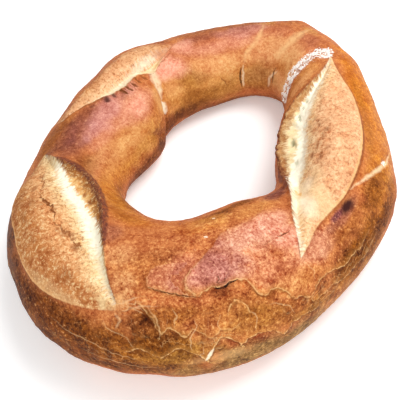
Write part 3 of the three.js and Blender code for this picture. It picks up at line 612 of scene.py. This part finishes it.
print("opening the slashes")
for number, slash in enumerate(slashes.values()):
    edges, strip, burnt = (np.array(slash[key], float) for key in ("edges", "strip", "burnt"))
    start, end = edges[0, 0], edges[-1, 0]
    turned = unwrapped(clockAll, start - torn["beyond"])
    near = np.flatnonzero(turned < end + torn["beyond"])
    turned, t, p = turned[near], along[near], place[near]
    lines = [openCurve(edges[:, [0, k]], turned) for k in (1, 2, 3)]
    sampled = np.linspace(start, end, torn["samples"])
    paths = [np.stack([sampled, openCurve(edges[:, [0, k]], sampled)], 1) for k in (1, 2, 3)]
    lipGap, lipMm, lipLength = fromLine(paths[0], near)[:3]
    creaseGap, creaseMm = fromLine(paths[1], near)[:2]
    rimGap = fromLine(paths[2], near)[0]
    lipShare = np.clip(lipMm / lipLength, torn["tip"], 1 - torn["tip"])
    strength = np.sin(np.pi * lipShare) ** torn["tipPower"]
    alongLip = lambda size, seed: softNoise(np.stack([lipMm, 0 * t, 0 * t + seed], -1), size)
    edgeNoise = alongLip(torn["jagSizes"][0], 7) + torn["fineJag"] * alongLip(torn["jagSizes"][1], 3)
    within = (turned > start) & (turned < end)
    inside = within & (t > lines[0]) & (t < lines[2])
    width = np.maximum(lines[2] - lines[0], torn["narrowest"])
    creaseShare = np.clip((lines[1] - lines[0]) / width, torn["creaseKeep"], 1 - torn["creaseKeep"])
    across = np.clip((t - lines[0]) / width, 0, 1)
    wallShare = np.clip(across / creaseShare, 0, 1)
    riseShare = np.clip((across - creaseShare) / (1 - creaseShare), 0, 1)
    inWall = inside & (across < creaseShare)
    inBurst = inside & ~inWall
    outIn = ~inside & (~within | (t <= lines[0]))
    outRim = ~inside & ~outIn
    fall = ease(wallShare) ** torn["fallPower"]
    ear = slash["ear"] + slash["jag"] * edgeNoise * strength
    ridge = slash["ridge"] * np.exp(-(lipGap / slash["ridgeWidth"]) ** 2)
    wallHeight = ear - (ear + slash["depth"]) * fall
    lifted = -slash["depth"] + (slash["depth"] + slash["step"]) * ease(riseShare * torn["riseSpeed"])
    burstHeight = lifted + slash["burst"] * np.sin(np.pi * riseShare)
    fade = strength * np.exp(-lipGap / slash["reach"])
    up = np.select([inWall, inBurst, outIn, outRim], [
        strength * (wallHeight + ridge), strength * burstHeight, ear * fade + strength * ridge,
        strength * slash["step"] * np.exp(-(rimGap / torn["rimWidth"]) ** 2)])
    # torn crumb: ragged pillars across the wall, feathers off the crease, open grain on the burst crust
    fibre = softNoise(np.stack([lipMm, torn["fibreStretch"] * lipGap, 0 * t], -1), torn["fibreSize"])
    feather = np.stack([creaseMm, torn["featherStretch"] * creaseGap, 0 * t + 9], -1)
    feather = softNoise(feather, torn["featherSize"])
    grain = torn["fineGrain"] * softNoise(p, torn["grainSize"] / torn["grainFiner"], 9)
    grain += softNoise(p, torn["grainSize"])
    calm = ease(creaseGap / torn["featherReach"])
    fibre *= np.sin(np.pi * wallShare) ** torn["fibrePower"]
    up += inWall * strength * torn["fibreRelief"] * fibre
    up += inBurst * strength * torn["grainRelief"] * calm * grain
    up += inBurst * strength * torn["featherRelief"] * (1 - calm) * feather
    height[near] += up
    leaning = np.select([inWall, outIn], [1 - fall, np.exp(-lipGap / slash["reach"]) ** 2])
    lean[near] += strength * slash["lean"] * leaning
    raiseTone("porous", inside * slash["porous"], near)
    toasted = ease((riseShare - slash["toastFrom"]) / slash["toastSoft"])
    raiseTone("toast", inBurst * slash["toast"] * toasted, near)
    # distances for the crisp edges
    cut = np.where(inside, 1.0, -1.0) * np.minimum(lipGap, rimGap)
    signedLip = np.where(inside | outRim, lipGap, -lipGap)
    signedCrease = np.where(t > lines[1], creaseGap, -creaseGap)
    slant = creaseGap / np.maximum(np.abs(t - lines[1]), torn["slantFrom"])
    slant = np.clip(slant, torn["leastSlant"], 1.0)
    burntOut = signedLip + openCurve(burnt[:, :2], turned)
    burntIn = openCurve(burnt[:, [0, 2]], turned) - signedLip
    closer = cut > fields["cut"][near]
    here = near[closer]
    for name, value in (
            ("cut", cut), ("wall", -signedCrease), ("rimGap", np.where(outRim, -rimGap, rimGap)),
            ("strip", slant * (t - openCurve(strip[:, :2], turned))),
            ("stripFoot", slant * (openCurve(strip[:, [0, 2]], turned) - t)),
            ("scorched", slash["scorchReach"] - signedLip), ("ear", np.minimum(burntOut, burntIn))):
        fields[name][here] = np.clip(value, -50, 50)[closer]
    cutWay[here] = np.stack([creaseMm, signedCrease, 0 * t + torn["wayApart"] * number], -1)[closer]
    for name in ("wallCream", "stripWhite", "rosyCrumb", "charred", "creaming"):
        tones[name][here] = slash[name]
    # on the burst side only: painted shadow just outside the rim, and a pale rim that is partly painted
    # highlight
    for name in ("rimPaleHighlight", "rimShadow"):
        tones[name][here] = (slash[name] * strength * (t > lines[1]))[closer]

print("folding the dough")
turned = unwrapped(clockAll, lap["clockFrom"])
seamFade = 1 - ease((along - lap["fadeFrom"]) / (lap["fadeTo"] - lap["fadeFrom"]))
seamFade = seamFade * ease((along - lap["startsAt"]) / lap["startsOver"])
off = (turned - openCurve(lap["line"], along)) * mmPerDegree
groove = lap["groove"] * np.exp(-(off / lap["grooveWidth"]) ** 2)
beyond = np.maximum(off, 0)
over = lap["step"] * (1 - np.exp(-beyond / lap["rise"])) * np.exp(-beyond / lap["reach"])
height += seamFade * ((off > 0) * over - groove)
for crease in creases.values():
    gap = fromLine(crease["path"])[0]
    height -= crease["depth"] * np.exp(-(gap / crease["width"]) ** 2)
for turn, distance, rise, reach in swells:
    gap = np.linalg.norm(place - spotsAt([[turn, distance]])[0], axis=1)
    height += rise * np.exp(-(gap / reach) ** 2)

print("lifting the flakes")
flakeLook = {name: np.zeros(len(along)) for name in ("flakePale", "flakeShadowShare")}
nearest = np.full(len(along), float(crust["farOff"]))
for flake in flakes.values():
    gap, passed, length, side = fromLine(flake["edge"], shift=ragged)
    ends = tapered(passed / length, crust["flakeTaper"])
    height += flake["lift"] * ends * (side > 0) * np.exp(-gap / flake["reach"])
    closer = gap < nearest
    nearest[closer] = gap[closer]
    fields["flake"][closer] = (side * gap)[closer]
    lower = ease((along - flake["paleFrom"]) / crust["flakeFade"])
    ends = ends * (crust["flakeFaint"] + (1 - crust["flakeFaint"]) * lower)
    flakeLook["flakePale"][closer] = (flake["pale"] * ends)[closer]
    # painted shadow on the skin just below the flake's edge
    flakeLook["flakeShadowShare"][closer] = (flake["shade"] * ends)[closer]

print("drawing cracks and seams")
lineLook = {name: np.zeros(len(along)) for name in (
    "darkWidth", "darkWarm", "darkAmount", "paleWidth", "paleSoft", "paleWhite", "paleAmount")}
for kind, rows in (("dark", darkLines), ("pale", paleLines)):
    nearest = np.full(len(along), float(crust["farOff"]))
    astray = softNoise(place, *crust[kind + "Wander"])
    for row in rows:
        line = dict(zip(lineKeys[kind], row))
        gap, passed, length, side = fromLine(line["path"])
        ends = tapered(passed / length, crust["lineTaper"])
        depth = line.get("depth", 0) * ends
        height -= depth * np.exp(-(gap / max(line["width"], crust["lineDent"])) ** 2)
        closer = gap < nearest
        nearest[closer] = gap[closer]
        fields[kind + "Gap"][closer] = (side * gap + line["wander"] * astray)[closer]
        lineLook[kind + "Width"][closer] = ((line["width"] + line.get("soft", 0)) * ends)[closer]
        for look in ("warm", "soft", "white", "amount"):
            if look in line:
                lineLook[kind + look.capitalize()][closer] = line[look]
for reach, path in dustLines:
    fields["flour"] = np.maximum(fields["flour"], reach - fromLine(path)[0])

print("roughening the crust")
skin = ease(-fields["cut"] / crust["nearSlash"])
height += crust["unevenness"] * softNoise(place, crust["unevenSize"])
height += skin * crust["lumps"] * softNoise(place, crust["lumpSize"], 4)
height += skin * crust["blisters"] * softNoise(place, crust["blisterSize"], 8)
wobble = np.stack([softNoise(place, crust["wobbleSize"], seed) for seed in (2, 12, 22)], -1)
gap, own, drop = scales(place + crust["scaleWobble"] * wobble, crust["scaleSize"], 2)
low = ease((along - crust["scalesFrom"]) / crust["scalesOver"])
scaly = low * ease(crust["scalyShare"] + crust["scalyVaries"] * softNoise(place, crust["scalySize"], 6))
rimmed = ease(crust["rimReach"] - gap / crust["scaleRim"])
rimmed = rimmed * ease(drop * crust["rimDrop"] - crust["rimDropFrom"])
rimmed = rimmed * ease(crust["rimShare"] + softNoise(place, crust["wobbleSize"], 5))
height += scaly * crust["scaleRelief"] * (crust["scaleLevels"] * own + crust["rimLift"] * rimmed)
raiseTone("pale", crust["scalePale"] * scaly * rimmed)

print("browning the crust")
wander = sum(amount * softNoise(place, size, seed) for amount, size, seed in crust["patchWander"])
for tone, rows in patches.items():
    for turn, distance, turnReach, reach, amount in rows:
        turned = unwrapped(clockAll, turn - 180)
        far = np.hypot((turned - turn) / turnReach, (along - distance) / reach)
        raiseTone(tone, amount * ease(crust["patchEdge"] - far + wander))
foot = crust["footHeight"] + crust["footUneven"] * softNoise(place, crust["footSize"], 14)
foot = ease((foot - place[:, 2]) / crust["footSoft"])
raiseTone("base", crust["footBase"] * foot * (along > 0) * (1 - tones["dark"]))
# painted shade: umber low on the hole side, where the hole's shade falls near the floor
raiseTone("umber", crust["footShadeUmber"] * foot * (along < 0))
for tone, rows in spots.items():
    for turn, distance, wide, tall, amount, depth in rows:
        turned = unwrapped(clockAll, turn - 180)
        far = np.hypot((turned - turn) * mmPerDegree / wide, (along - distance) / tall)
        cover = ease(crust["spotEdge"] - far - crust["spotRagged"] * ragged[0])
        raiseTone(tone, amount * cover)
        height -= depth * cover

finished = place + normal * height[:, None] + tangent * lean[:, None]
finished[:, 0] += ring["hub"][0]
finished[:, 1] += ring["hub"][1]
finished[:, 2] = np.maximum(0, finished[:, 2] - ring["baseCut"])


def meshPiece(name, points, faces):
    # a piece from points in mm
    mesh = bpy.data.meshes.new(name)
    mesh.from_pydata((points / 1000).tolist(), [], faces.tolist())
    piece = bpy.data.objects.new(name, mesh)
    bpy.context.scene.collection.objects.link(piece)
    return piece


number = np.arange(len(finished)).reshape(shape)
nextColumn = np.roll(number, -1, axis=0)
corners = [number, np.roll(number, -1, axis=1), np.roll(nextColumn, -1, axis=1), nextColumn]
loaf = meshPiece("loafCrust", finished, np.stack(corners, -1).reshape(-1, 4))
loaf.data.shade_smooth()
onCrust = {**tones, **fields, **flakeLook, **lineLook}
for name, values in onCrust.items():
    layer = loaf.data.attributes.new(name, "FLOAT", "POINT")
    layer.data.foreach_set("value", values.astype(np.float32))
layer = loaf.data.attributes.new("cutWay", "FLOAT_VECTOR", "POINT")
layer.data.foreach_set("vector", cutWay.astype(np.float32).ravel())


def linear(code):
    levels = [int(code[i:i + 2], 16) / 255 for i in (1, 3, 5)]
    return tuple(v / 12.92 if v <= 0.04045 else ((v + 0.055) / 1.055) ** 2.4 for v in levels) + (1.0,)


def addNode(tree, kind, settings=None, inputs=None, out=0):
    # makes a node, sets it, links or fills its inputs (a "#" text is a colour) and gives back one output
    node = tree.nodes.new(kind)
    for key, value in (settings or {}).items():
        setattr(node, key, value)
    for key, value in (inputs or {}).items():
        if isinstance(value, bpy.types.NodeSocket):
            tree.links.new(value, node.inputs[key])
        else:
            node.inputs[key].default_value = linear(value) if isinstance(value, str) else value
    return node.outputs[out] if len(node.outputs) else node


# rose, pink and mauve, on the plates too, are brown crust with a painted pinkish sheen
crustColours = {
    "skin": "#BE6F3E", "gold": "#D2924A", "honey": "#F2B67C", "amber": "#C4701C", "olive": "#8E5F22",
    "umber": "#8A4C10", "dark": "#68320A", "roseSheen": "#BC6E56", "plum": "#70393A", "pinkSheen": "#EBA68A",
    "mauveSheen": "#CB8C84", "base": "#8C6638", "pale": "#EDBE80", "plateRoseSheen": "#C87E5C",
    "platePinkSheen": "#DFA58C", "plateMauveSheen": "#AE6C64", "crumb": "#E09E68", "rosyCrumb": "#E8B186",
    "toast": "#BE7640", "wall": "#DE9E52", "wallCream": "#FBE8BC", "cream": "#F5DCA6",
    "milky": "#FCEED2", "white": "#FFF8E0", "scorch": "#8C4C24", "pores": "#A4602E",
    # rim colours: a pale rim that is partly painted highlight, and a dark painted shadow just outside it
    "rimPaleHighlight": "#F0BA7C", "rimShadow": "#7C3A1A", "ear": "#8C4C20", "plumEar": "#5A2F30",
    "crack": "#2A130C", "tear": "#98552A", "pitShade": "#8D8762", "burn": "#3E1C18", "flour": "#FBF6EC",
}

crustFinish = {
    "skinRoughness": 0.55, "crumbRoughness": 0.9, "ior": 1.45, "specular": 0.07,
    "bump": 0.7, "bumpHeight": 0.0008,
    "fibreWidth": 1.6, "fibreLength": 6.0, "fibreDetail": 2.0, "fibreRoughness": 0.7,
    "underDepth": -0.05,
}

# Noises: size in mm, detail, roughness, distortion.
crustNoises = {
    "freckles": (1.7, 2.5, 0.75, 0.6), "mottle": (9, 6, 0.8, 0), "grain": (2, 3, 0.8, 0.5),
    "clumps": (2.6, 2, 0.6, 0), "patchy": (6, 2, 0.5, 0),
}

# Crisp edges: the field, the noise that frays it and by how many mm, and where it fades from 0 to 1.
crustEdges = {
    "cutEdge": ("cut", "grain", 1.2, -0.3, 0.5), "wallEdge": ("wall", "fibres", 1, -0.5, 0.5),
    "earEdge": ("ear", "clumps", 4, -0.6, 0.8), "scorchEdge": ("scorched", "fibres", 12, -2, 2),
    "stripEdge": ("strip", "fibres", 11, -1, 1.2), "footEdge": ("stripFoot", "fibres", 12, -2, 3),
    "creamEdge": ("stripFoot", "fibres", 16, -10, -1), "flourEdge": ("flour", "clumps", 9, 0, 1),
    "plateEdge": ("flake", "grain", 1, -0.3, 0.3),
}

# Lines: the field, how far the line lies inside it, half-width, soft edge and fraying, in mm.
crustLines = {
    "darkMark": ("darkGap", 0, "darkWidth", 0.35, 1.8), "flakeRim": ("flake", 0.3, 0.6, 0.5, 1.6),
    "paleMark": ("paleGap", 0, "paleWidth", "paleSoft", 1),
}

# Ramps: what is read, from what to what, and the values at those two ends.
crustRamps = {
    "broken": ("clumps", 0.38, 0.54, 0.1, 1), "thinned": ("clumps", 0.34, 0.5, 0.55, 1),
    "ragged": ("freckles", 0.4, 0.56, 0.35, 1), "flourClumps": ("freckles", 0.48, 0.56, 0, 1),
    "softCream": ("scorchEdge", 0, 1, 1, 0.25), "uncovered": ("closed", 0, 1, 1, 0),
    "burstOnly": ("wallEdge", 0, 1, 1, 0.2), "speckled": ("mottled", 0, 1, 0.2, 0.5),
    "mottling": ("mottled", 0, 1, 0.5, 1), "freckling": ("mottled", 0, 1, 0.6, 1),
    "blotching": ("mottled", 0, 1, 0, 0.35), "specks": ("freckles", 0.6, 0.72, 0, "speckled"),
    # bands beside a flake's edge: painted shadow just outside it, painted highlight just inside it
    "underFlake": ("flake", -2, -0.1, 0, 1), "overFlake": ("flake", 3.5, 0, 0, "flakePale"),
    # bands beside a rim: painted shadow just outside it, and a pale band just inside, partly painted
    # highlight
    "rimShadowLine": ("rimGap", -2.6, -0.4, 0, "rimShadow"), "rimHighlightLine": ("rimGap", 2.2, 0.8, 0, "rimPaleHighlight"),
    "poreShare": ("porous", 0, 1, 0.25, 1), "coarseness": ("porous", 0, 1, 0.2, 0.8),
    # holes and lights follow the grain that also makes the crumb's bump: toasted pores with painted shade in
    # the hollows, cream crumb with painted highlight on the tops
    "holes": ("grain", 0.5, 0.36, 0, 0.85), "lights": ("grain", 0.52, 0.66, 0, "creaming"),
    "wideMottle": ("mottle", 0.32, 0.68, 0, 1), "widePatchy": ("patchy", 0.2, 0.8, 0, 1),
    "wideFreckle": ("freckles", 0.28, 0.72, 0, 1),
}

# Covers: these are multiplied, and say how much of a layer shows.
crustCovers = {
    "plateRoseSheen": ("plateRoseSheen", "plateEdge"), "platePinkSheen": ("platePinkSheen", "plateEdge"),
    # a painted highlight in gold along the lifted side of each flake edge
    "plateMauveSheen": ("plateMauveSheen", "plateEdge"), "flakeHighlight": ("overFlake", "plateEdge", 0.5),
    # painted shadow under the flake edges
    "flakeShadow": ("underFlake", "belowFlake", "flakeShadowShare"),
    "flakeLine": ("flakeRim", "flakePale", "broken"), "paleSeam": ("paleMark", "paleAmount", "thinned"),
    "darkSeam": ("darkMark", "darkAmount", "thinned"),
    "creamFoot": ("creamEdge", "creaming"), "creamWall": ("wallEdge", "wallCream", "softCream"),
    "scorchedWall": ("scorchEdge", "wallEdge", "charred"), "shadedPores": ("holes", "burstOnly", "poreShare"),
    "whiteStrip": ("stripEdge", "footEdge", "stripWhite"), "tornOpen": ("cutEdge", "uncovered"),
    "crispEar": ("earEdge", "ragged"), "flourCake": ("flourClumps", "flourEdge"),
}

# Layers from the lowest up: how much of it shows, and its colour. A cloud in the place of a colour
# only lightens and darkens what is below.
skinLayers = [(name, name) for name in skinTones] + [
    ("blotching", "widePatchy"), ("mottling", "wideMottle"),
    ("freckling", "wideFreckle"), ("specks", "pale"), ("pale", "pale"),
    # painted shadow under the flake edges, painted highlight on the flakes beside them, then their pale edge
    # line
    ("flakeShadow", "dark"), ("flakeHighlight", "gold"), ("flakeLine", "pale"),
    # painted shadow just outside the rim of the burst crust
    ("rimShadowLine", "rimShadow"),
]
tornLayers = [
    ("rosyCrumb", "rosyCrumb"), ("toast", "toast"), ("creamFoot", "cream"),
    ("wallEdge", "wall"), ("creamWall", "wallCream"), ("scorchedWall", "scorch"),
    # pores darker in the grain's hollows, partly painted shade, and cream on its tops, partly painted
    # highlight
    ("shadedPores", "pores"), ("lights", "cream"), ("pores", "pores"),
    # pale rim of the burst crust: paler crust, partly painted highlight on its raised edge
    ("scorch", "scorch"), ("coarseness", "wideMottle"), ("rimHighlightLine", "rimPaleHighlight"),
    ("whiteStrip", "white"), ("cream", "cream"), ("milky", "milky"),
]
topLayers = [
    ("tornOpen", "tornSide"), ("paleSeam", "seamTone"), ("crispEar", "earTone"),
    # painted shade in the crumb's holes
    ("darkSeam", "crackTone"), ("pitShade", "pitShade"), ("burn", "burn"),
    ("crack", "crack"), ("flourCake", "flour"),
]


def bakedCrust():
    # hearth-baked wheat crust: browned skin with a low sheen and more sheen painted into its rose and pink,
    # torn matt crumb in the slashes; some layers also paint shade and highlights
    material = bpy.data.materials.new("hearthBakedCrust")
    material.use_nodes = True
    tree = material.node_tree
    tree.nodes.clear()
    maths, ranged = "ShaderNodeMath", "ShaderNodeMapRange"
    mixed, clouds = "ShaderNodeMix", "ShaderNodeTexNoise"
    where = addNode(tree, "ShaderNodeTexCoord", out=3)
    made = {}  # every value of the crust that a node gives, by name
    for name in onCrust:
        made[name] = addNode(tree, "ShaderNodeAttribute", {"attribute_name": name}, out=2)
    for name, (size, detail, roughness, distortion) in crustNoises.items():
        made[name] = addNode(tree, clouds, None, {
            "Vector": where, "Scale": 1000 / size, "Detail": detail, "Roughness": roughness,
            "Distortion": distortion})
    way = addNode(tree, "ShaderNodeAttribute", {"attribute_name": "cutWay"}, out=1)
    combed = addNode(tree, "ShaderNodeMapping", None, {
        "Vector": way, "Scale": (1 / crustFinish["fibreWidth"], 1 / crustFinish["fibreLength"], 1)})
    made["fibres"] = addNode(tree, clouds, None, {
        "Vector": combed, "Scale": 1.0, "Detail": crustFinish["fibreDetail"],
        "Roughness": crustFinish["fibreRoughness"]})

    for name, (field, fray, amount, low, high) in crustEdges.items():
        frayed = addNode(tree, maths, {"operation": "MULTIPLY_ADD"}, {
            0: made[fray], 1: amount, 2: made[field]})
        made[name] = addNode(tree, ranged, None, {
            0: frayed, 1: low + amount / 2, 2: high + amount / 2})
    for name, (gap, shift, wide, soft, fray) in crustLines.items():
        frayed = addNode(tree, maths, {"operation": "MULTIPLY_ADD"}, {
            0: made["grain"], 1: fray, 2: made[gap]})
        moved = addNode(tree, maths, {"operation": "SUBTRACT"}, {0: frayed, 1: shift + fray / 2})
        off = addNode(tree, maths, {"operation": "ABSOLUTE"}, {0: moved})
        left = addNode(tree, maths, {"operation": "SUBTRACT"}, {0: made.get(wide, wide), 1: off})
        made[name] = addNode(tree, ranged, None, {0: left, 1: 0.0, 2: made.get(soft, soft)})
    made["belowFlake"] = addNode(tree, maths, {"operation": "LESS_THAN"}, {
        0: made["flake"], 1: crustFinish["underDepth"]})
    for name, (source, start, end, first, last) in crustRamps.items():
        made[name] = addNode(tree, ranged, None, {
            0: made[source], 1: start, 2: end, 3: first, 4: made.get(last, last)})
    for name, (below, *above) in crustCovers.items():
        made[name] = made[below]
        for part in above:
            made[name] = addNode(tree, maths, {"operation": "MULTIPLY"}, {
                0: made[name], 1: made.get(part, part)})
    for name, share, first, last in (
            ("earTone", "charred", "ear", "plumEar"), ("seamTone", "paleWhite", "pale", "white"),
            ("crackTone", "darkWarm", "crack", "tear")):
        made[name] = addNode(tree, mixed, {"data_type": "RGBA"}, {
            "Factor": made[share], 6: crustColours[first], 7: crustColours[last]}, out=2)

    for name, start, layers in (
            ("tornSide", "crumb", tornLayers), ("skinSide", "skin", skinLayers),
            ("crust", "skinSide", topLayers)):
        made[name] = made[start] if start in made else crustColours[start]
        for cover, colour in layers:
            blend = "SOFT_LIGHT" if colour.startswith("wide") else "MIX"
            laid = crustColours[colour] if colour in crustColours else made[colour]
            made[name] = addNode(tree, mixed, {"data_type": "RGBA", "blend_type": blend}, {
                "Factor": made[cover], 6: made[name], 7: laid}, out=2)

    roughness = addNode(tree, ranged, None, {
        0: made["cutEdge"], 3: crustFinish["skinRoughness"], 4: crustFinish["crumbRoughness"]})
    relief = addNode(tree, maths, {"operation": "MULTIPLY_ADD"}, {
        0: made["grain"], 1: made["cutEdge"], 2: made["freckles"]})
    normal = addNode(tree, "ShaderNodeBump", None, {
        "Strength": crustFinish["bump"], "Distance": crustFinish["bumpHeight"], "Height": relief})
    shader = addNode(tree, "ShaderNodeBsdfPrincipled", None, {
        "Base Color": made["crust"], "Roughness": roughness, "IOR": crustFinish["ior"],
        "Specular IOR Level": crustFinish["specular"], "Normal": normal})
    addNode(tree, "ShaderNodeOutputMaterial", None, {"Surface": shader})
    return material


loaf.data.materials.append(bakedCrust())
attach(loaf, "root")
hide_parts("loaf")

flour = {
    "lumps": 1250, "smallest": 0.22, "largest": 0.62, "flatness": 0.65, "uneven": 0.25, "clumpSize": 2.6,
    "clumpFrom": 0.2, "clumpContrast": 2.2, "fringe": 2.5, "fringeFrom": 0.2, "scatter": 0.5,
    "lift": 0.1, "seed": 7,
    "creamy": "#EFE6D8", "white": "#FFFFFF", "cloudSize": 2.5, "roughness": 0.95,
}


def flourLumps():
    # small uneven lumps, each with twenty faces, joined into one mesh
    draw = np.random.default_rng(flour["seed"])
    golden = (1 + 5 ** 0.5) / 2
    corners = np.array([[0, a, b * golden] for a in (-1, 1) for b in (-1, 1)], float)
    corners = np.concatenate([np.roll(corners, k, axis=1) for k in range(3)]) / np.hypot(1, golden)
    span = np.linalg.norm(corners[:, None] - corners[None], axis=-1)
    edge = span[span > 0].min() * 1.01
    faces = [(i, j, k) for i in range(12) for j in range(i + 1, 12) for k in range(j + 1, 12)
             if max(span[i, j], span[j, k], span[i, k]) < edge]
    faces = np.array([f if np.linalg.det(corners[list(f)]) > 0 else f[::-1] for f in faces])
    made = []
    clumped = softNoise(place, flour["clumpSize"], 5)
    clumped = ease(flour["clumpFrom"] + flour["clumpContrast"] * clumped)
    chance = ease(fields["flour"] / flour["fringe"] + flour["fringeFrom"]) * clumped * mmPerDegree
    for k in draw.choice(len(chance), flour["lumps"], p=chance / chance.sum()):
        turn = np.linalg.qr(draw.normal(size=(3, 3)))[0]
        size = draw.uniform(flour["smallest"], flour["largest"])
        lump = corners * (1 + flour["uneven"] * draw.uniform(-1, 1, (12, 1))) * size
        lump = lump * [1, 1, flour["flatness"]] @ turn
        jump = draw.uniform(-flour["scatter"], flour["scatter"], 3)
        made.append(finished[k] + lump + jump + normal[k] * (flour["lift"] - jump @ normal[k]))
    faces = np.concatenate([faces + len(corners) * i for i in range(len(made))])
    return meshPiece("flour", np.concatenate(made), faces)


def cakedFlour():
    # milled wheat flour, caked in the oven: dull white with faint cream lumps
    material = bpy.data.materials.new("cakedWheatFlour")
    material.use_nodes = True
    tree = material.node_tree
    shader = tree.nodes["Principled BSDF"]
    where = addNode(tree, "ShaderNodeTexCoord", out=3)
    cloud = addNode(tree, "ShaderNodeTexNoise", None, {"Vector": where, "Scale": 1000 / flour["cloudSize"]})
    shade = addNode(tree, "ShaderNodeMix", {"data_type": "RGBA"}, {
        "Factor": cloud, 6: flour["creamy"], 7: flour["white"]}, out=2)
    tree.links.new(shade, shader.inputs["Base Color"])
    shader.inputs["Roughness"].default_value = flour["roughness"]
    return material


print("dusting with flour")
dust = flourLumps()
dust.data.materials.append(cakedFlour())
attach(dust, "root")

print("setting the stage")
stage = {  # metres and watts
    "floorSize": 3.0, "floorColour": "#FFFFFF", "floorRoughness": 0.9, "floorGlow": 0.2,
    "worldStrength": 0.52, "lightsAimAt": (0, 0, 0.03),
    "lights": {
        "keyLight": {"place": (0.40, 0.15, 0.80), "size": 0.6, "watts": 6.5},
        "fillLight": {"place": (-0.15, -0.80, 0.55), "size": 0.9, "watts": 4.0},
    },
}
bpy.ops.mesh.primitive_plane_add(size=stage["floorSize"], location=(0, 0, 0))
floor = bpy.context.object
floor.name = "floor"
floorPaint = bpy.data.materials.new("paleFloor")
floorPaint.use_nodes = True
paint = floorPaint.node_tree.nodes["Principled BSDF"].inputs
paint["Base Color"].default_value = linear(stage["floorColour"])
paint["Roughness"].default_value = stage["floorRoughness"]
paint["Emission Color"].default_value = (1, 1, 1, 1)
paint["Emission Strength"].default_value = stage["floorGlow"]
floor.data.materials.append(floorPaint)

world = bpy.data.worlds.new("studio")
bpy.context.scene.world = world
world.use_nodes = True
world.node_tree.nodes["Background"].inputs["Color"].default_value = (1, 1, 1, 1)
world.node_tree.nodes["Background"].inputs["Strength"].default_value = stage["worldStrength"]

for name, light in stage["lights"].items():
    lamp = bpy.data.lights.new(name, "AREA")
    lamp.energy = light["watts"]
    lamp.size = light["size"]
    holder = bpy.data.objects.new(name, lamp)
    holder.location = light["place"]
    aim = Vector(stage["lightsAimAt"]) - Vector(light["place"])
    holder.rotation_euler = aim.to_track_quat("-Z", "Y").to_euler()
    bpy.context.scene.collection.objects.link(holder)

view = {  # metres and degrees
    "target": (-0.0030, -0.0252, 0.030), "distance": 0.5, "elevation": 50.0, "roll": 8.0,
    "focalShare": 1.9, "sensor": 36,
}
tilt, roll = math.radians(view["elevation"]), math.radians(view["roll"])
forward = Vector((0, math.cos(tilt), -math.sin(tilt)))
upright = Vector((0, math.sin(tilt), math.cos(tilt)))
level = Vector((1, 0, 0))
right = level * math.cos(roll) - upright * math.sin(roll)
up = level * math.sin(roll) + upright * math.cos(roll)
camera = bpy.data.objects.new("camera", bpy.data.cameras.new("camera"))
camera.data.sensor_width = view["sensor"]
camera.data.lens = view["sensor"] * view["focalShare"]
spot = Vector(view["target"]) - forward * view["distance"]
camera.matrix_world = Matrix.Translation(spot) @ Matrix((right, up, -forward)).transposed().to_4x4()
bpy.context.scene.collection.objects.link(camera)
bpy.context.scene.camera = camera
bpy.context.scene.view_settings.view_transform = "Standard"

print("done")
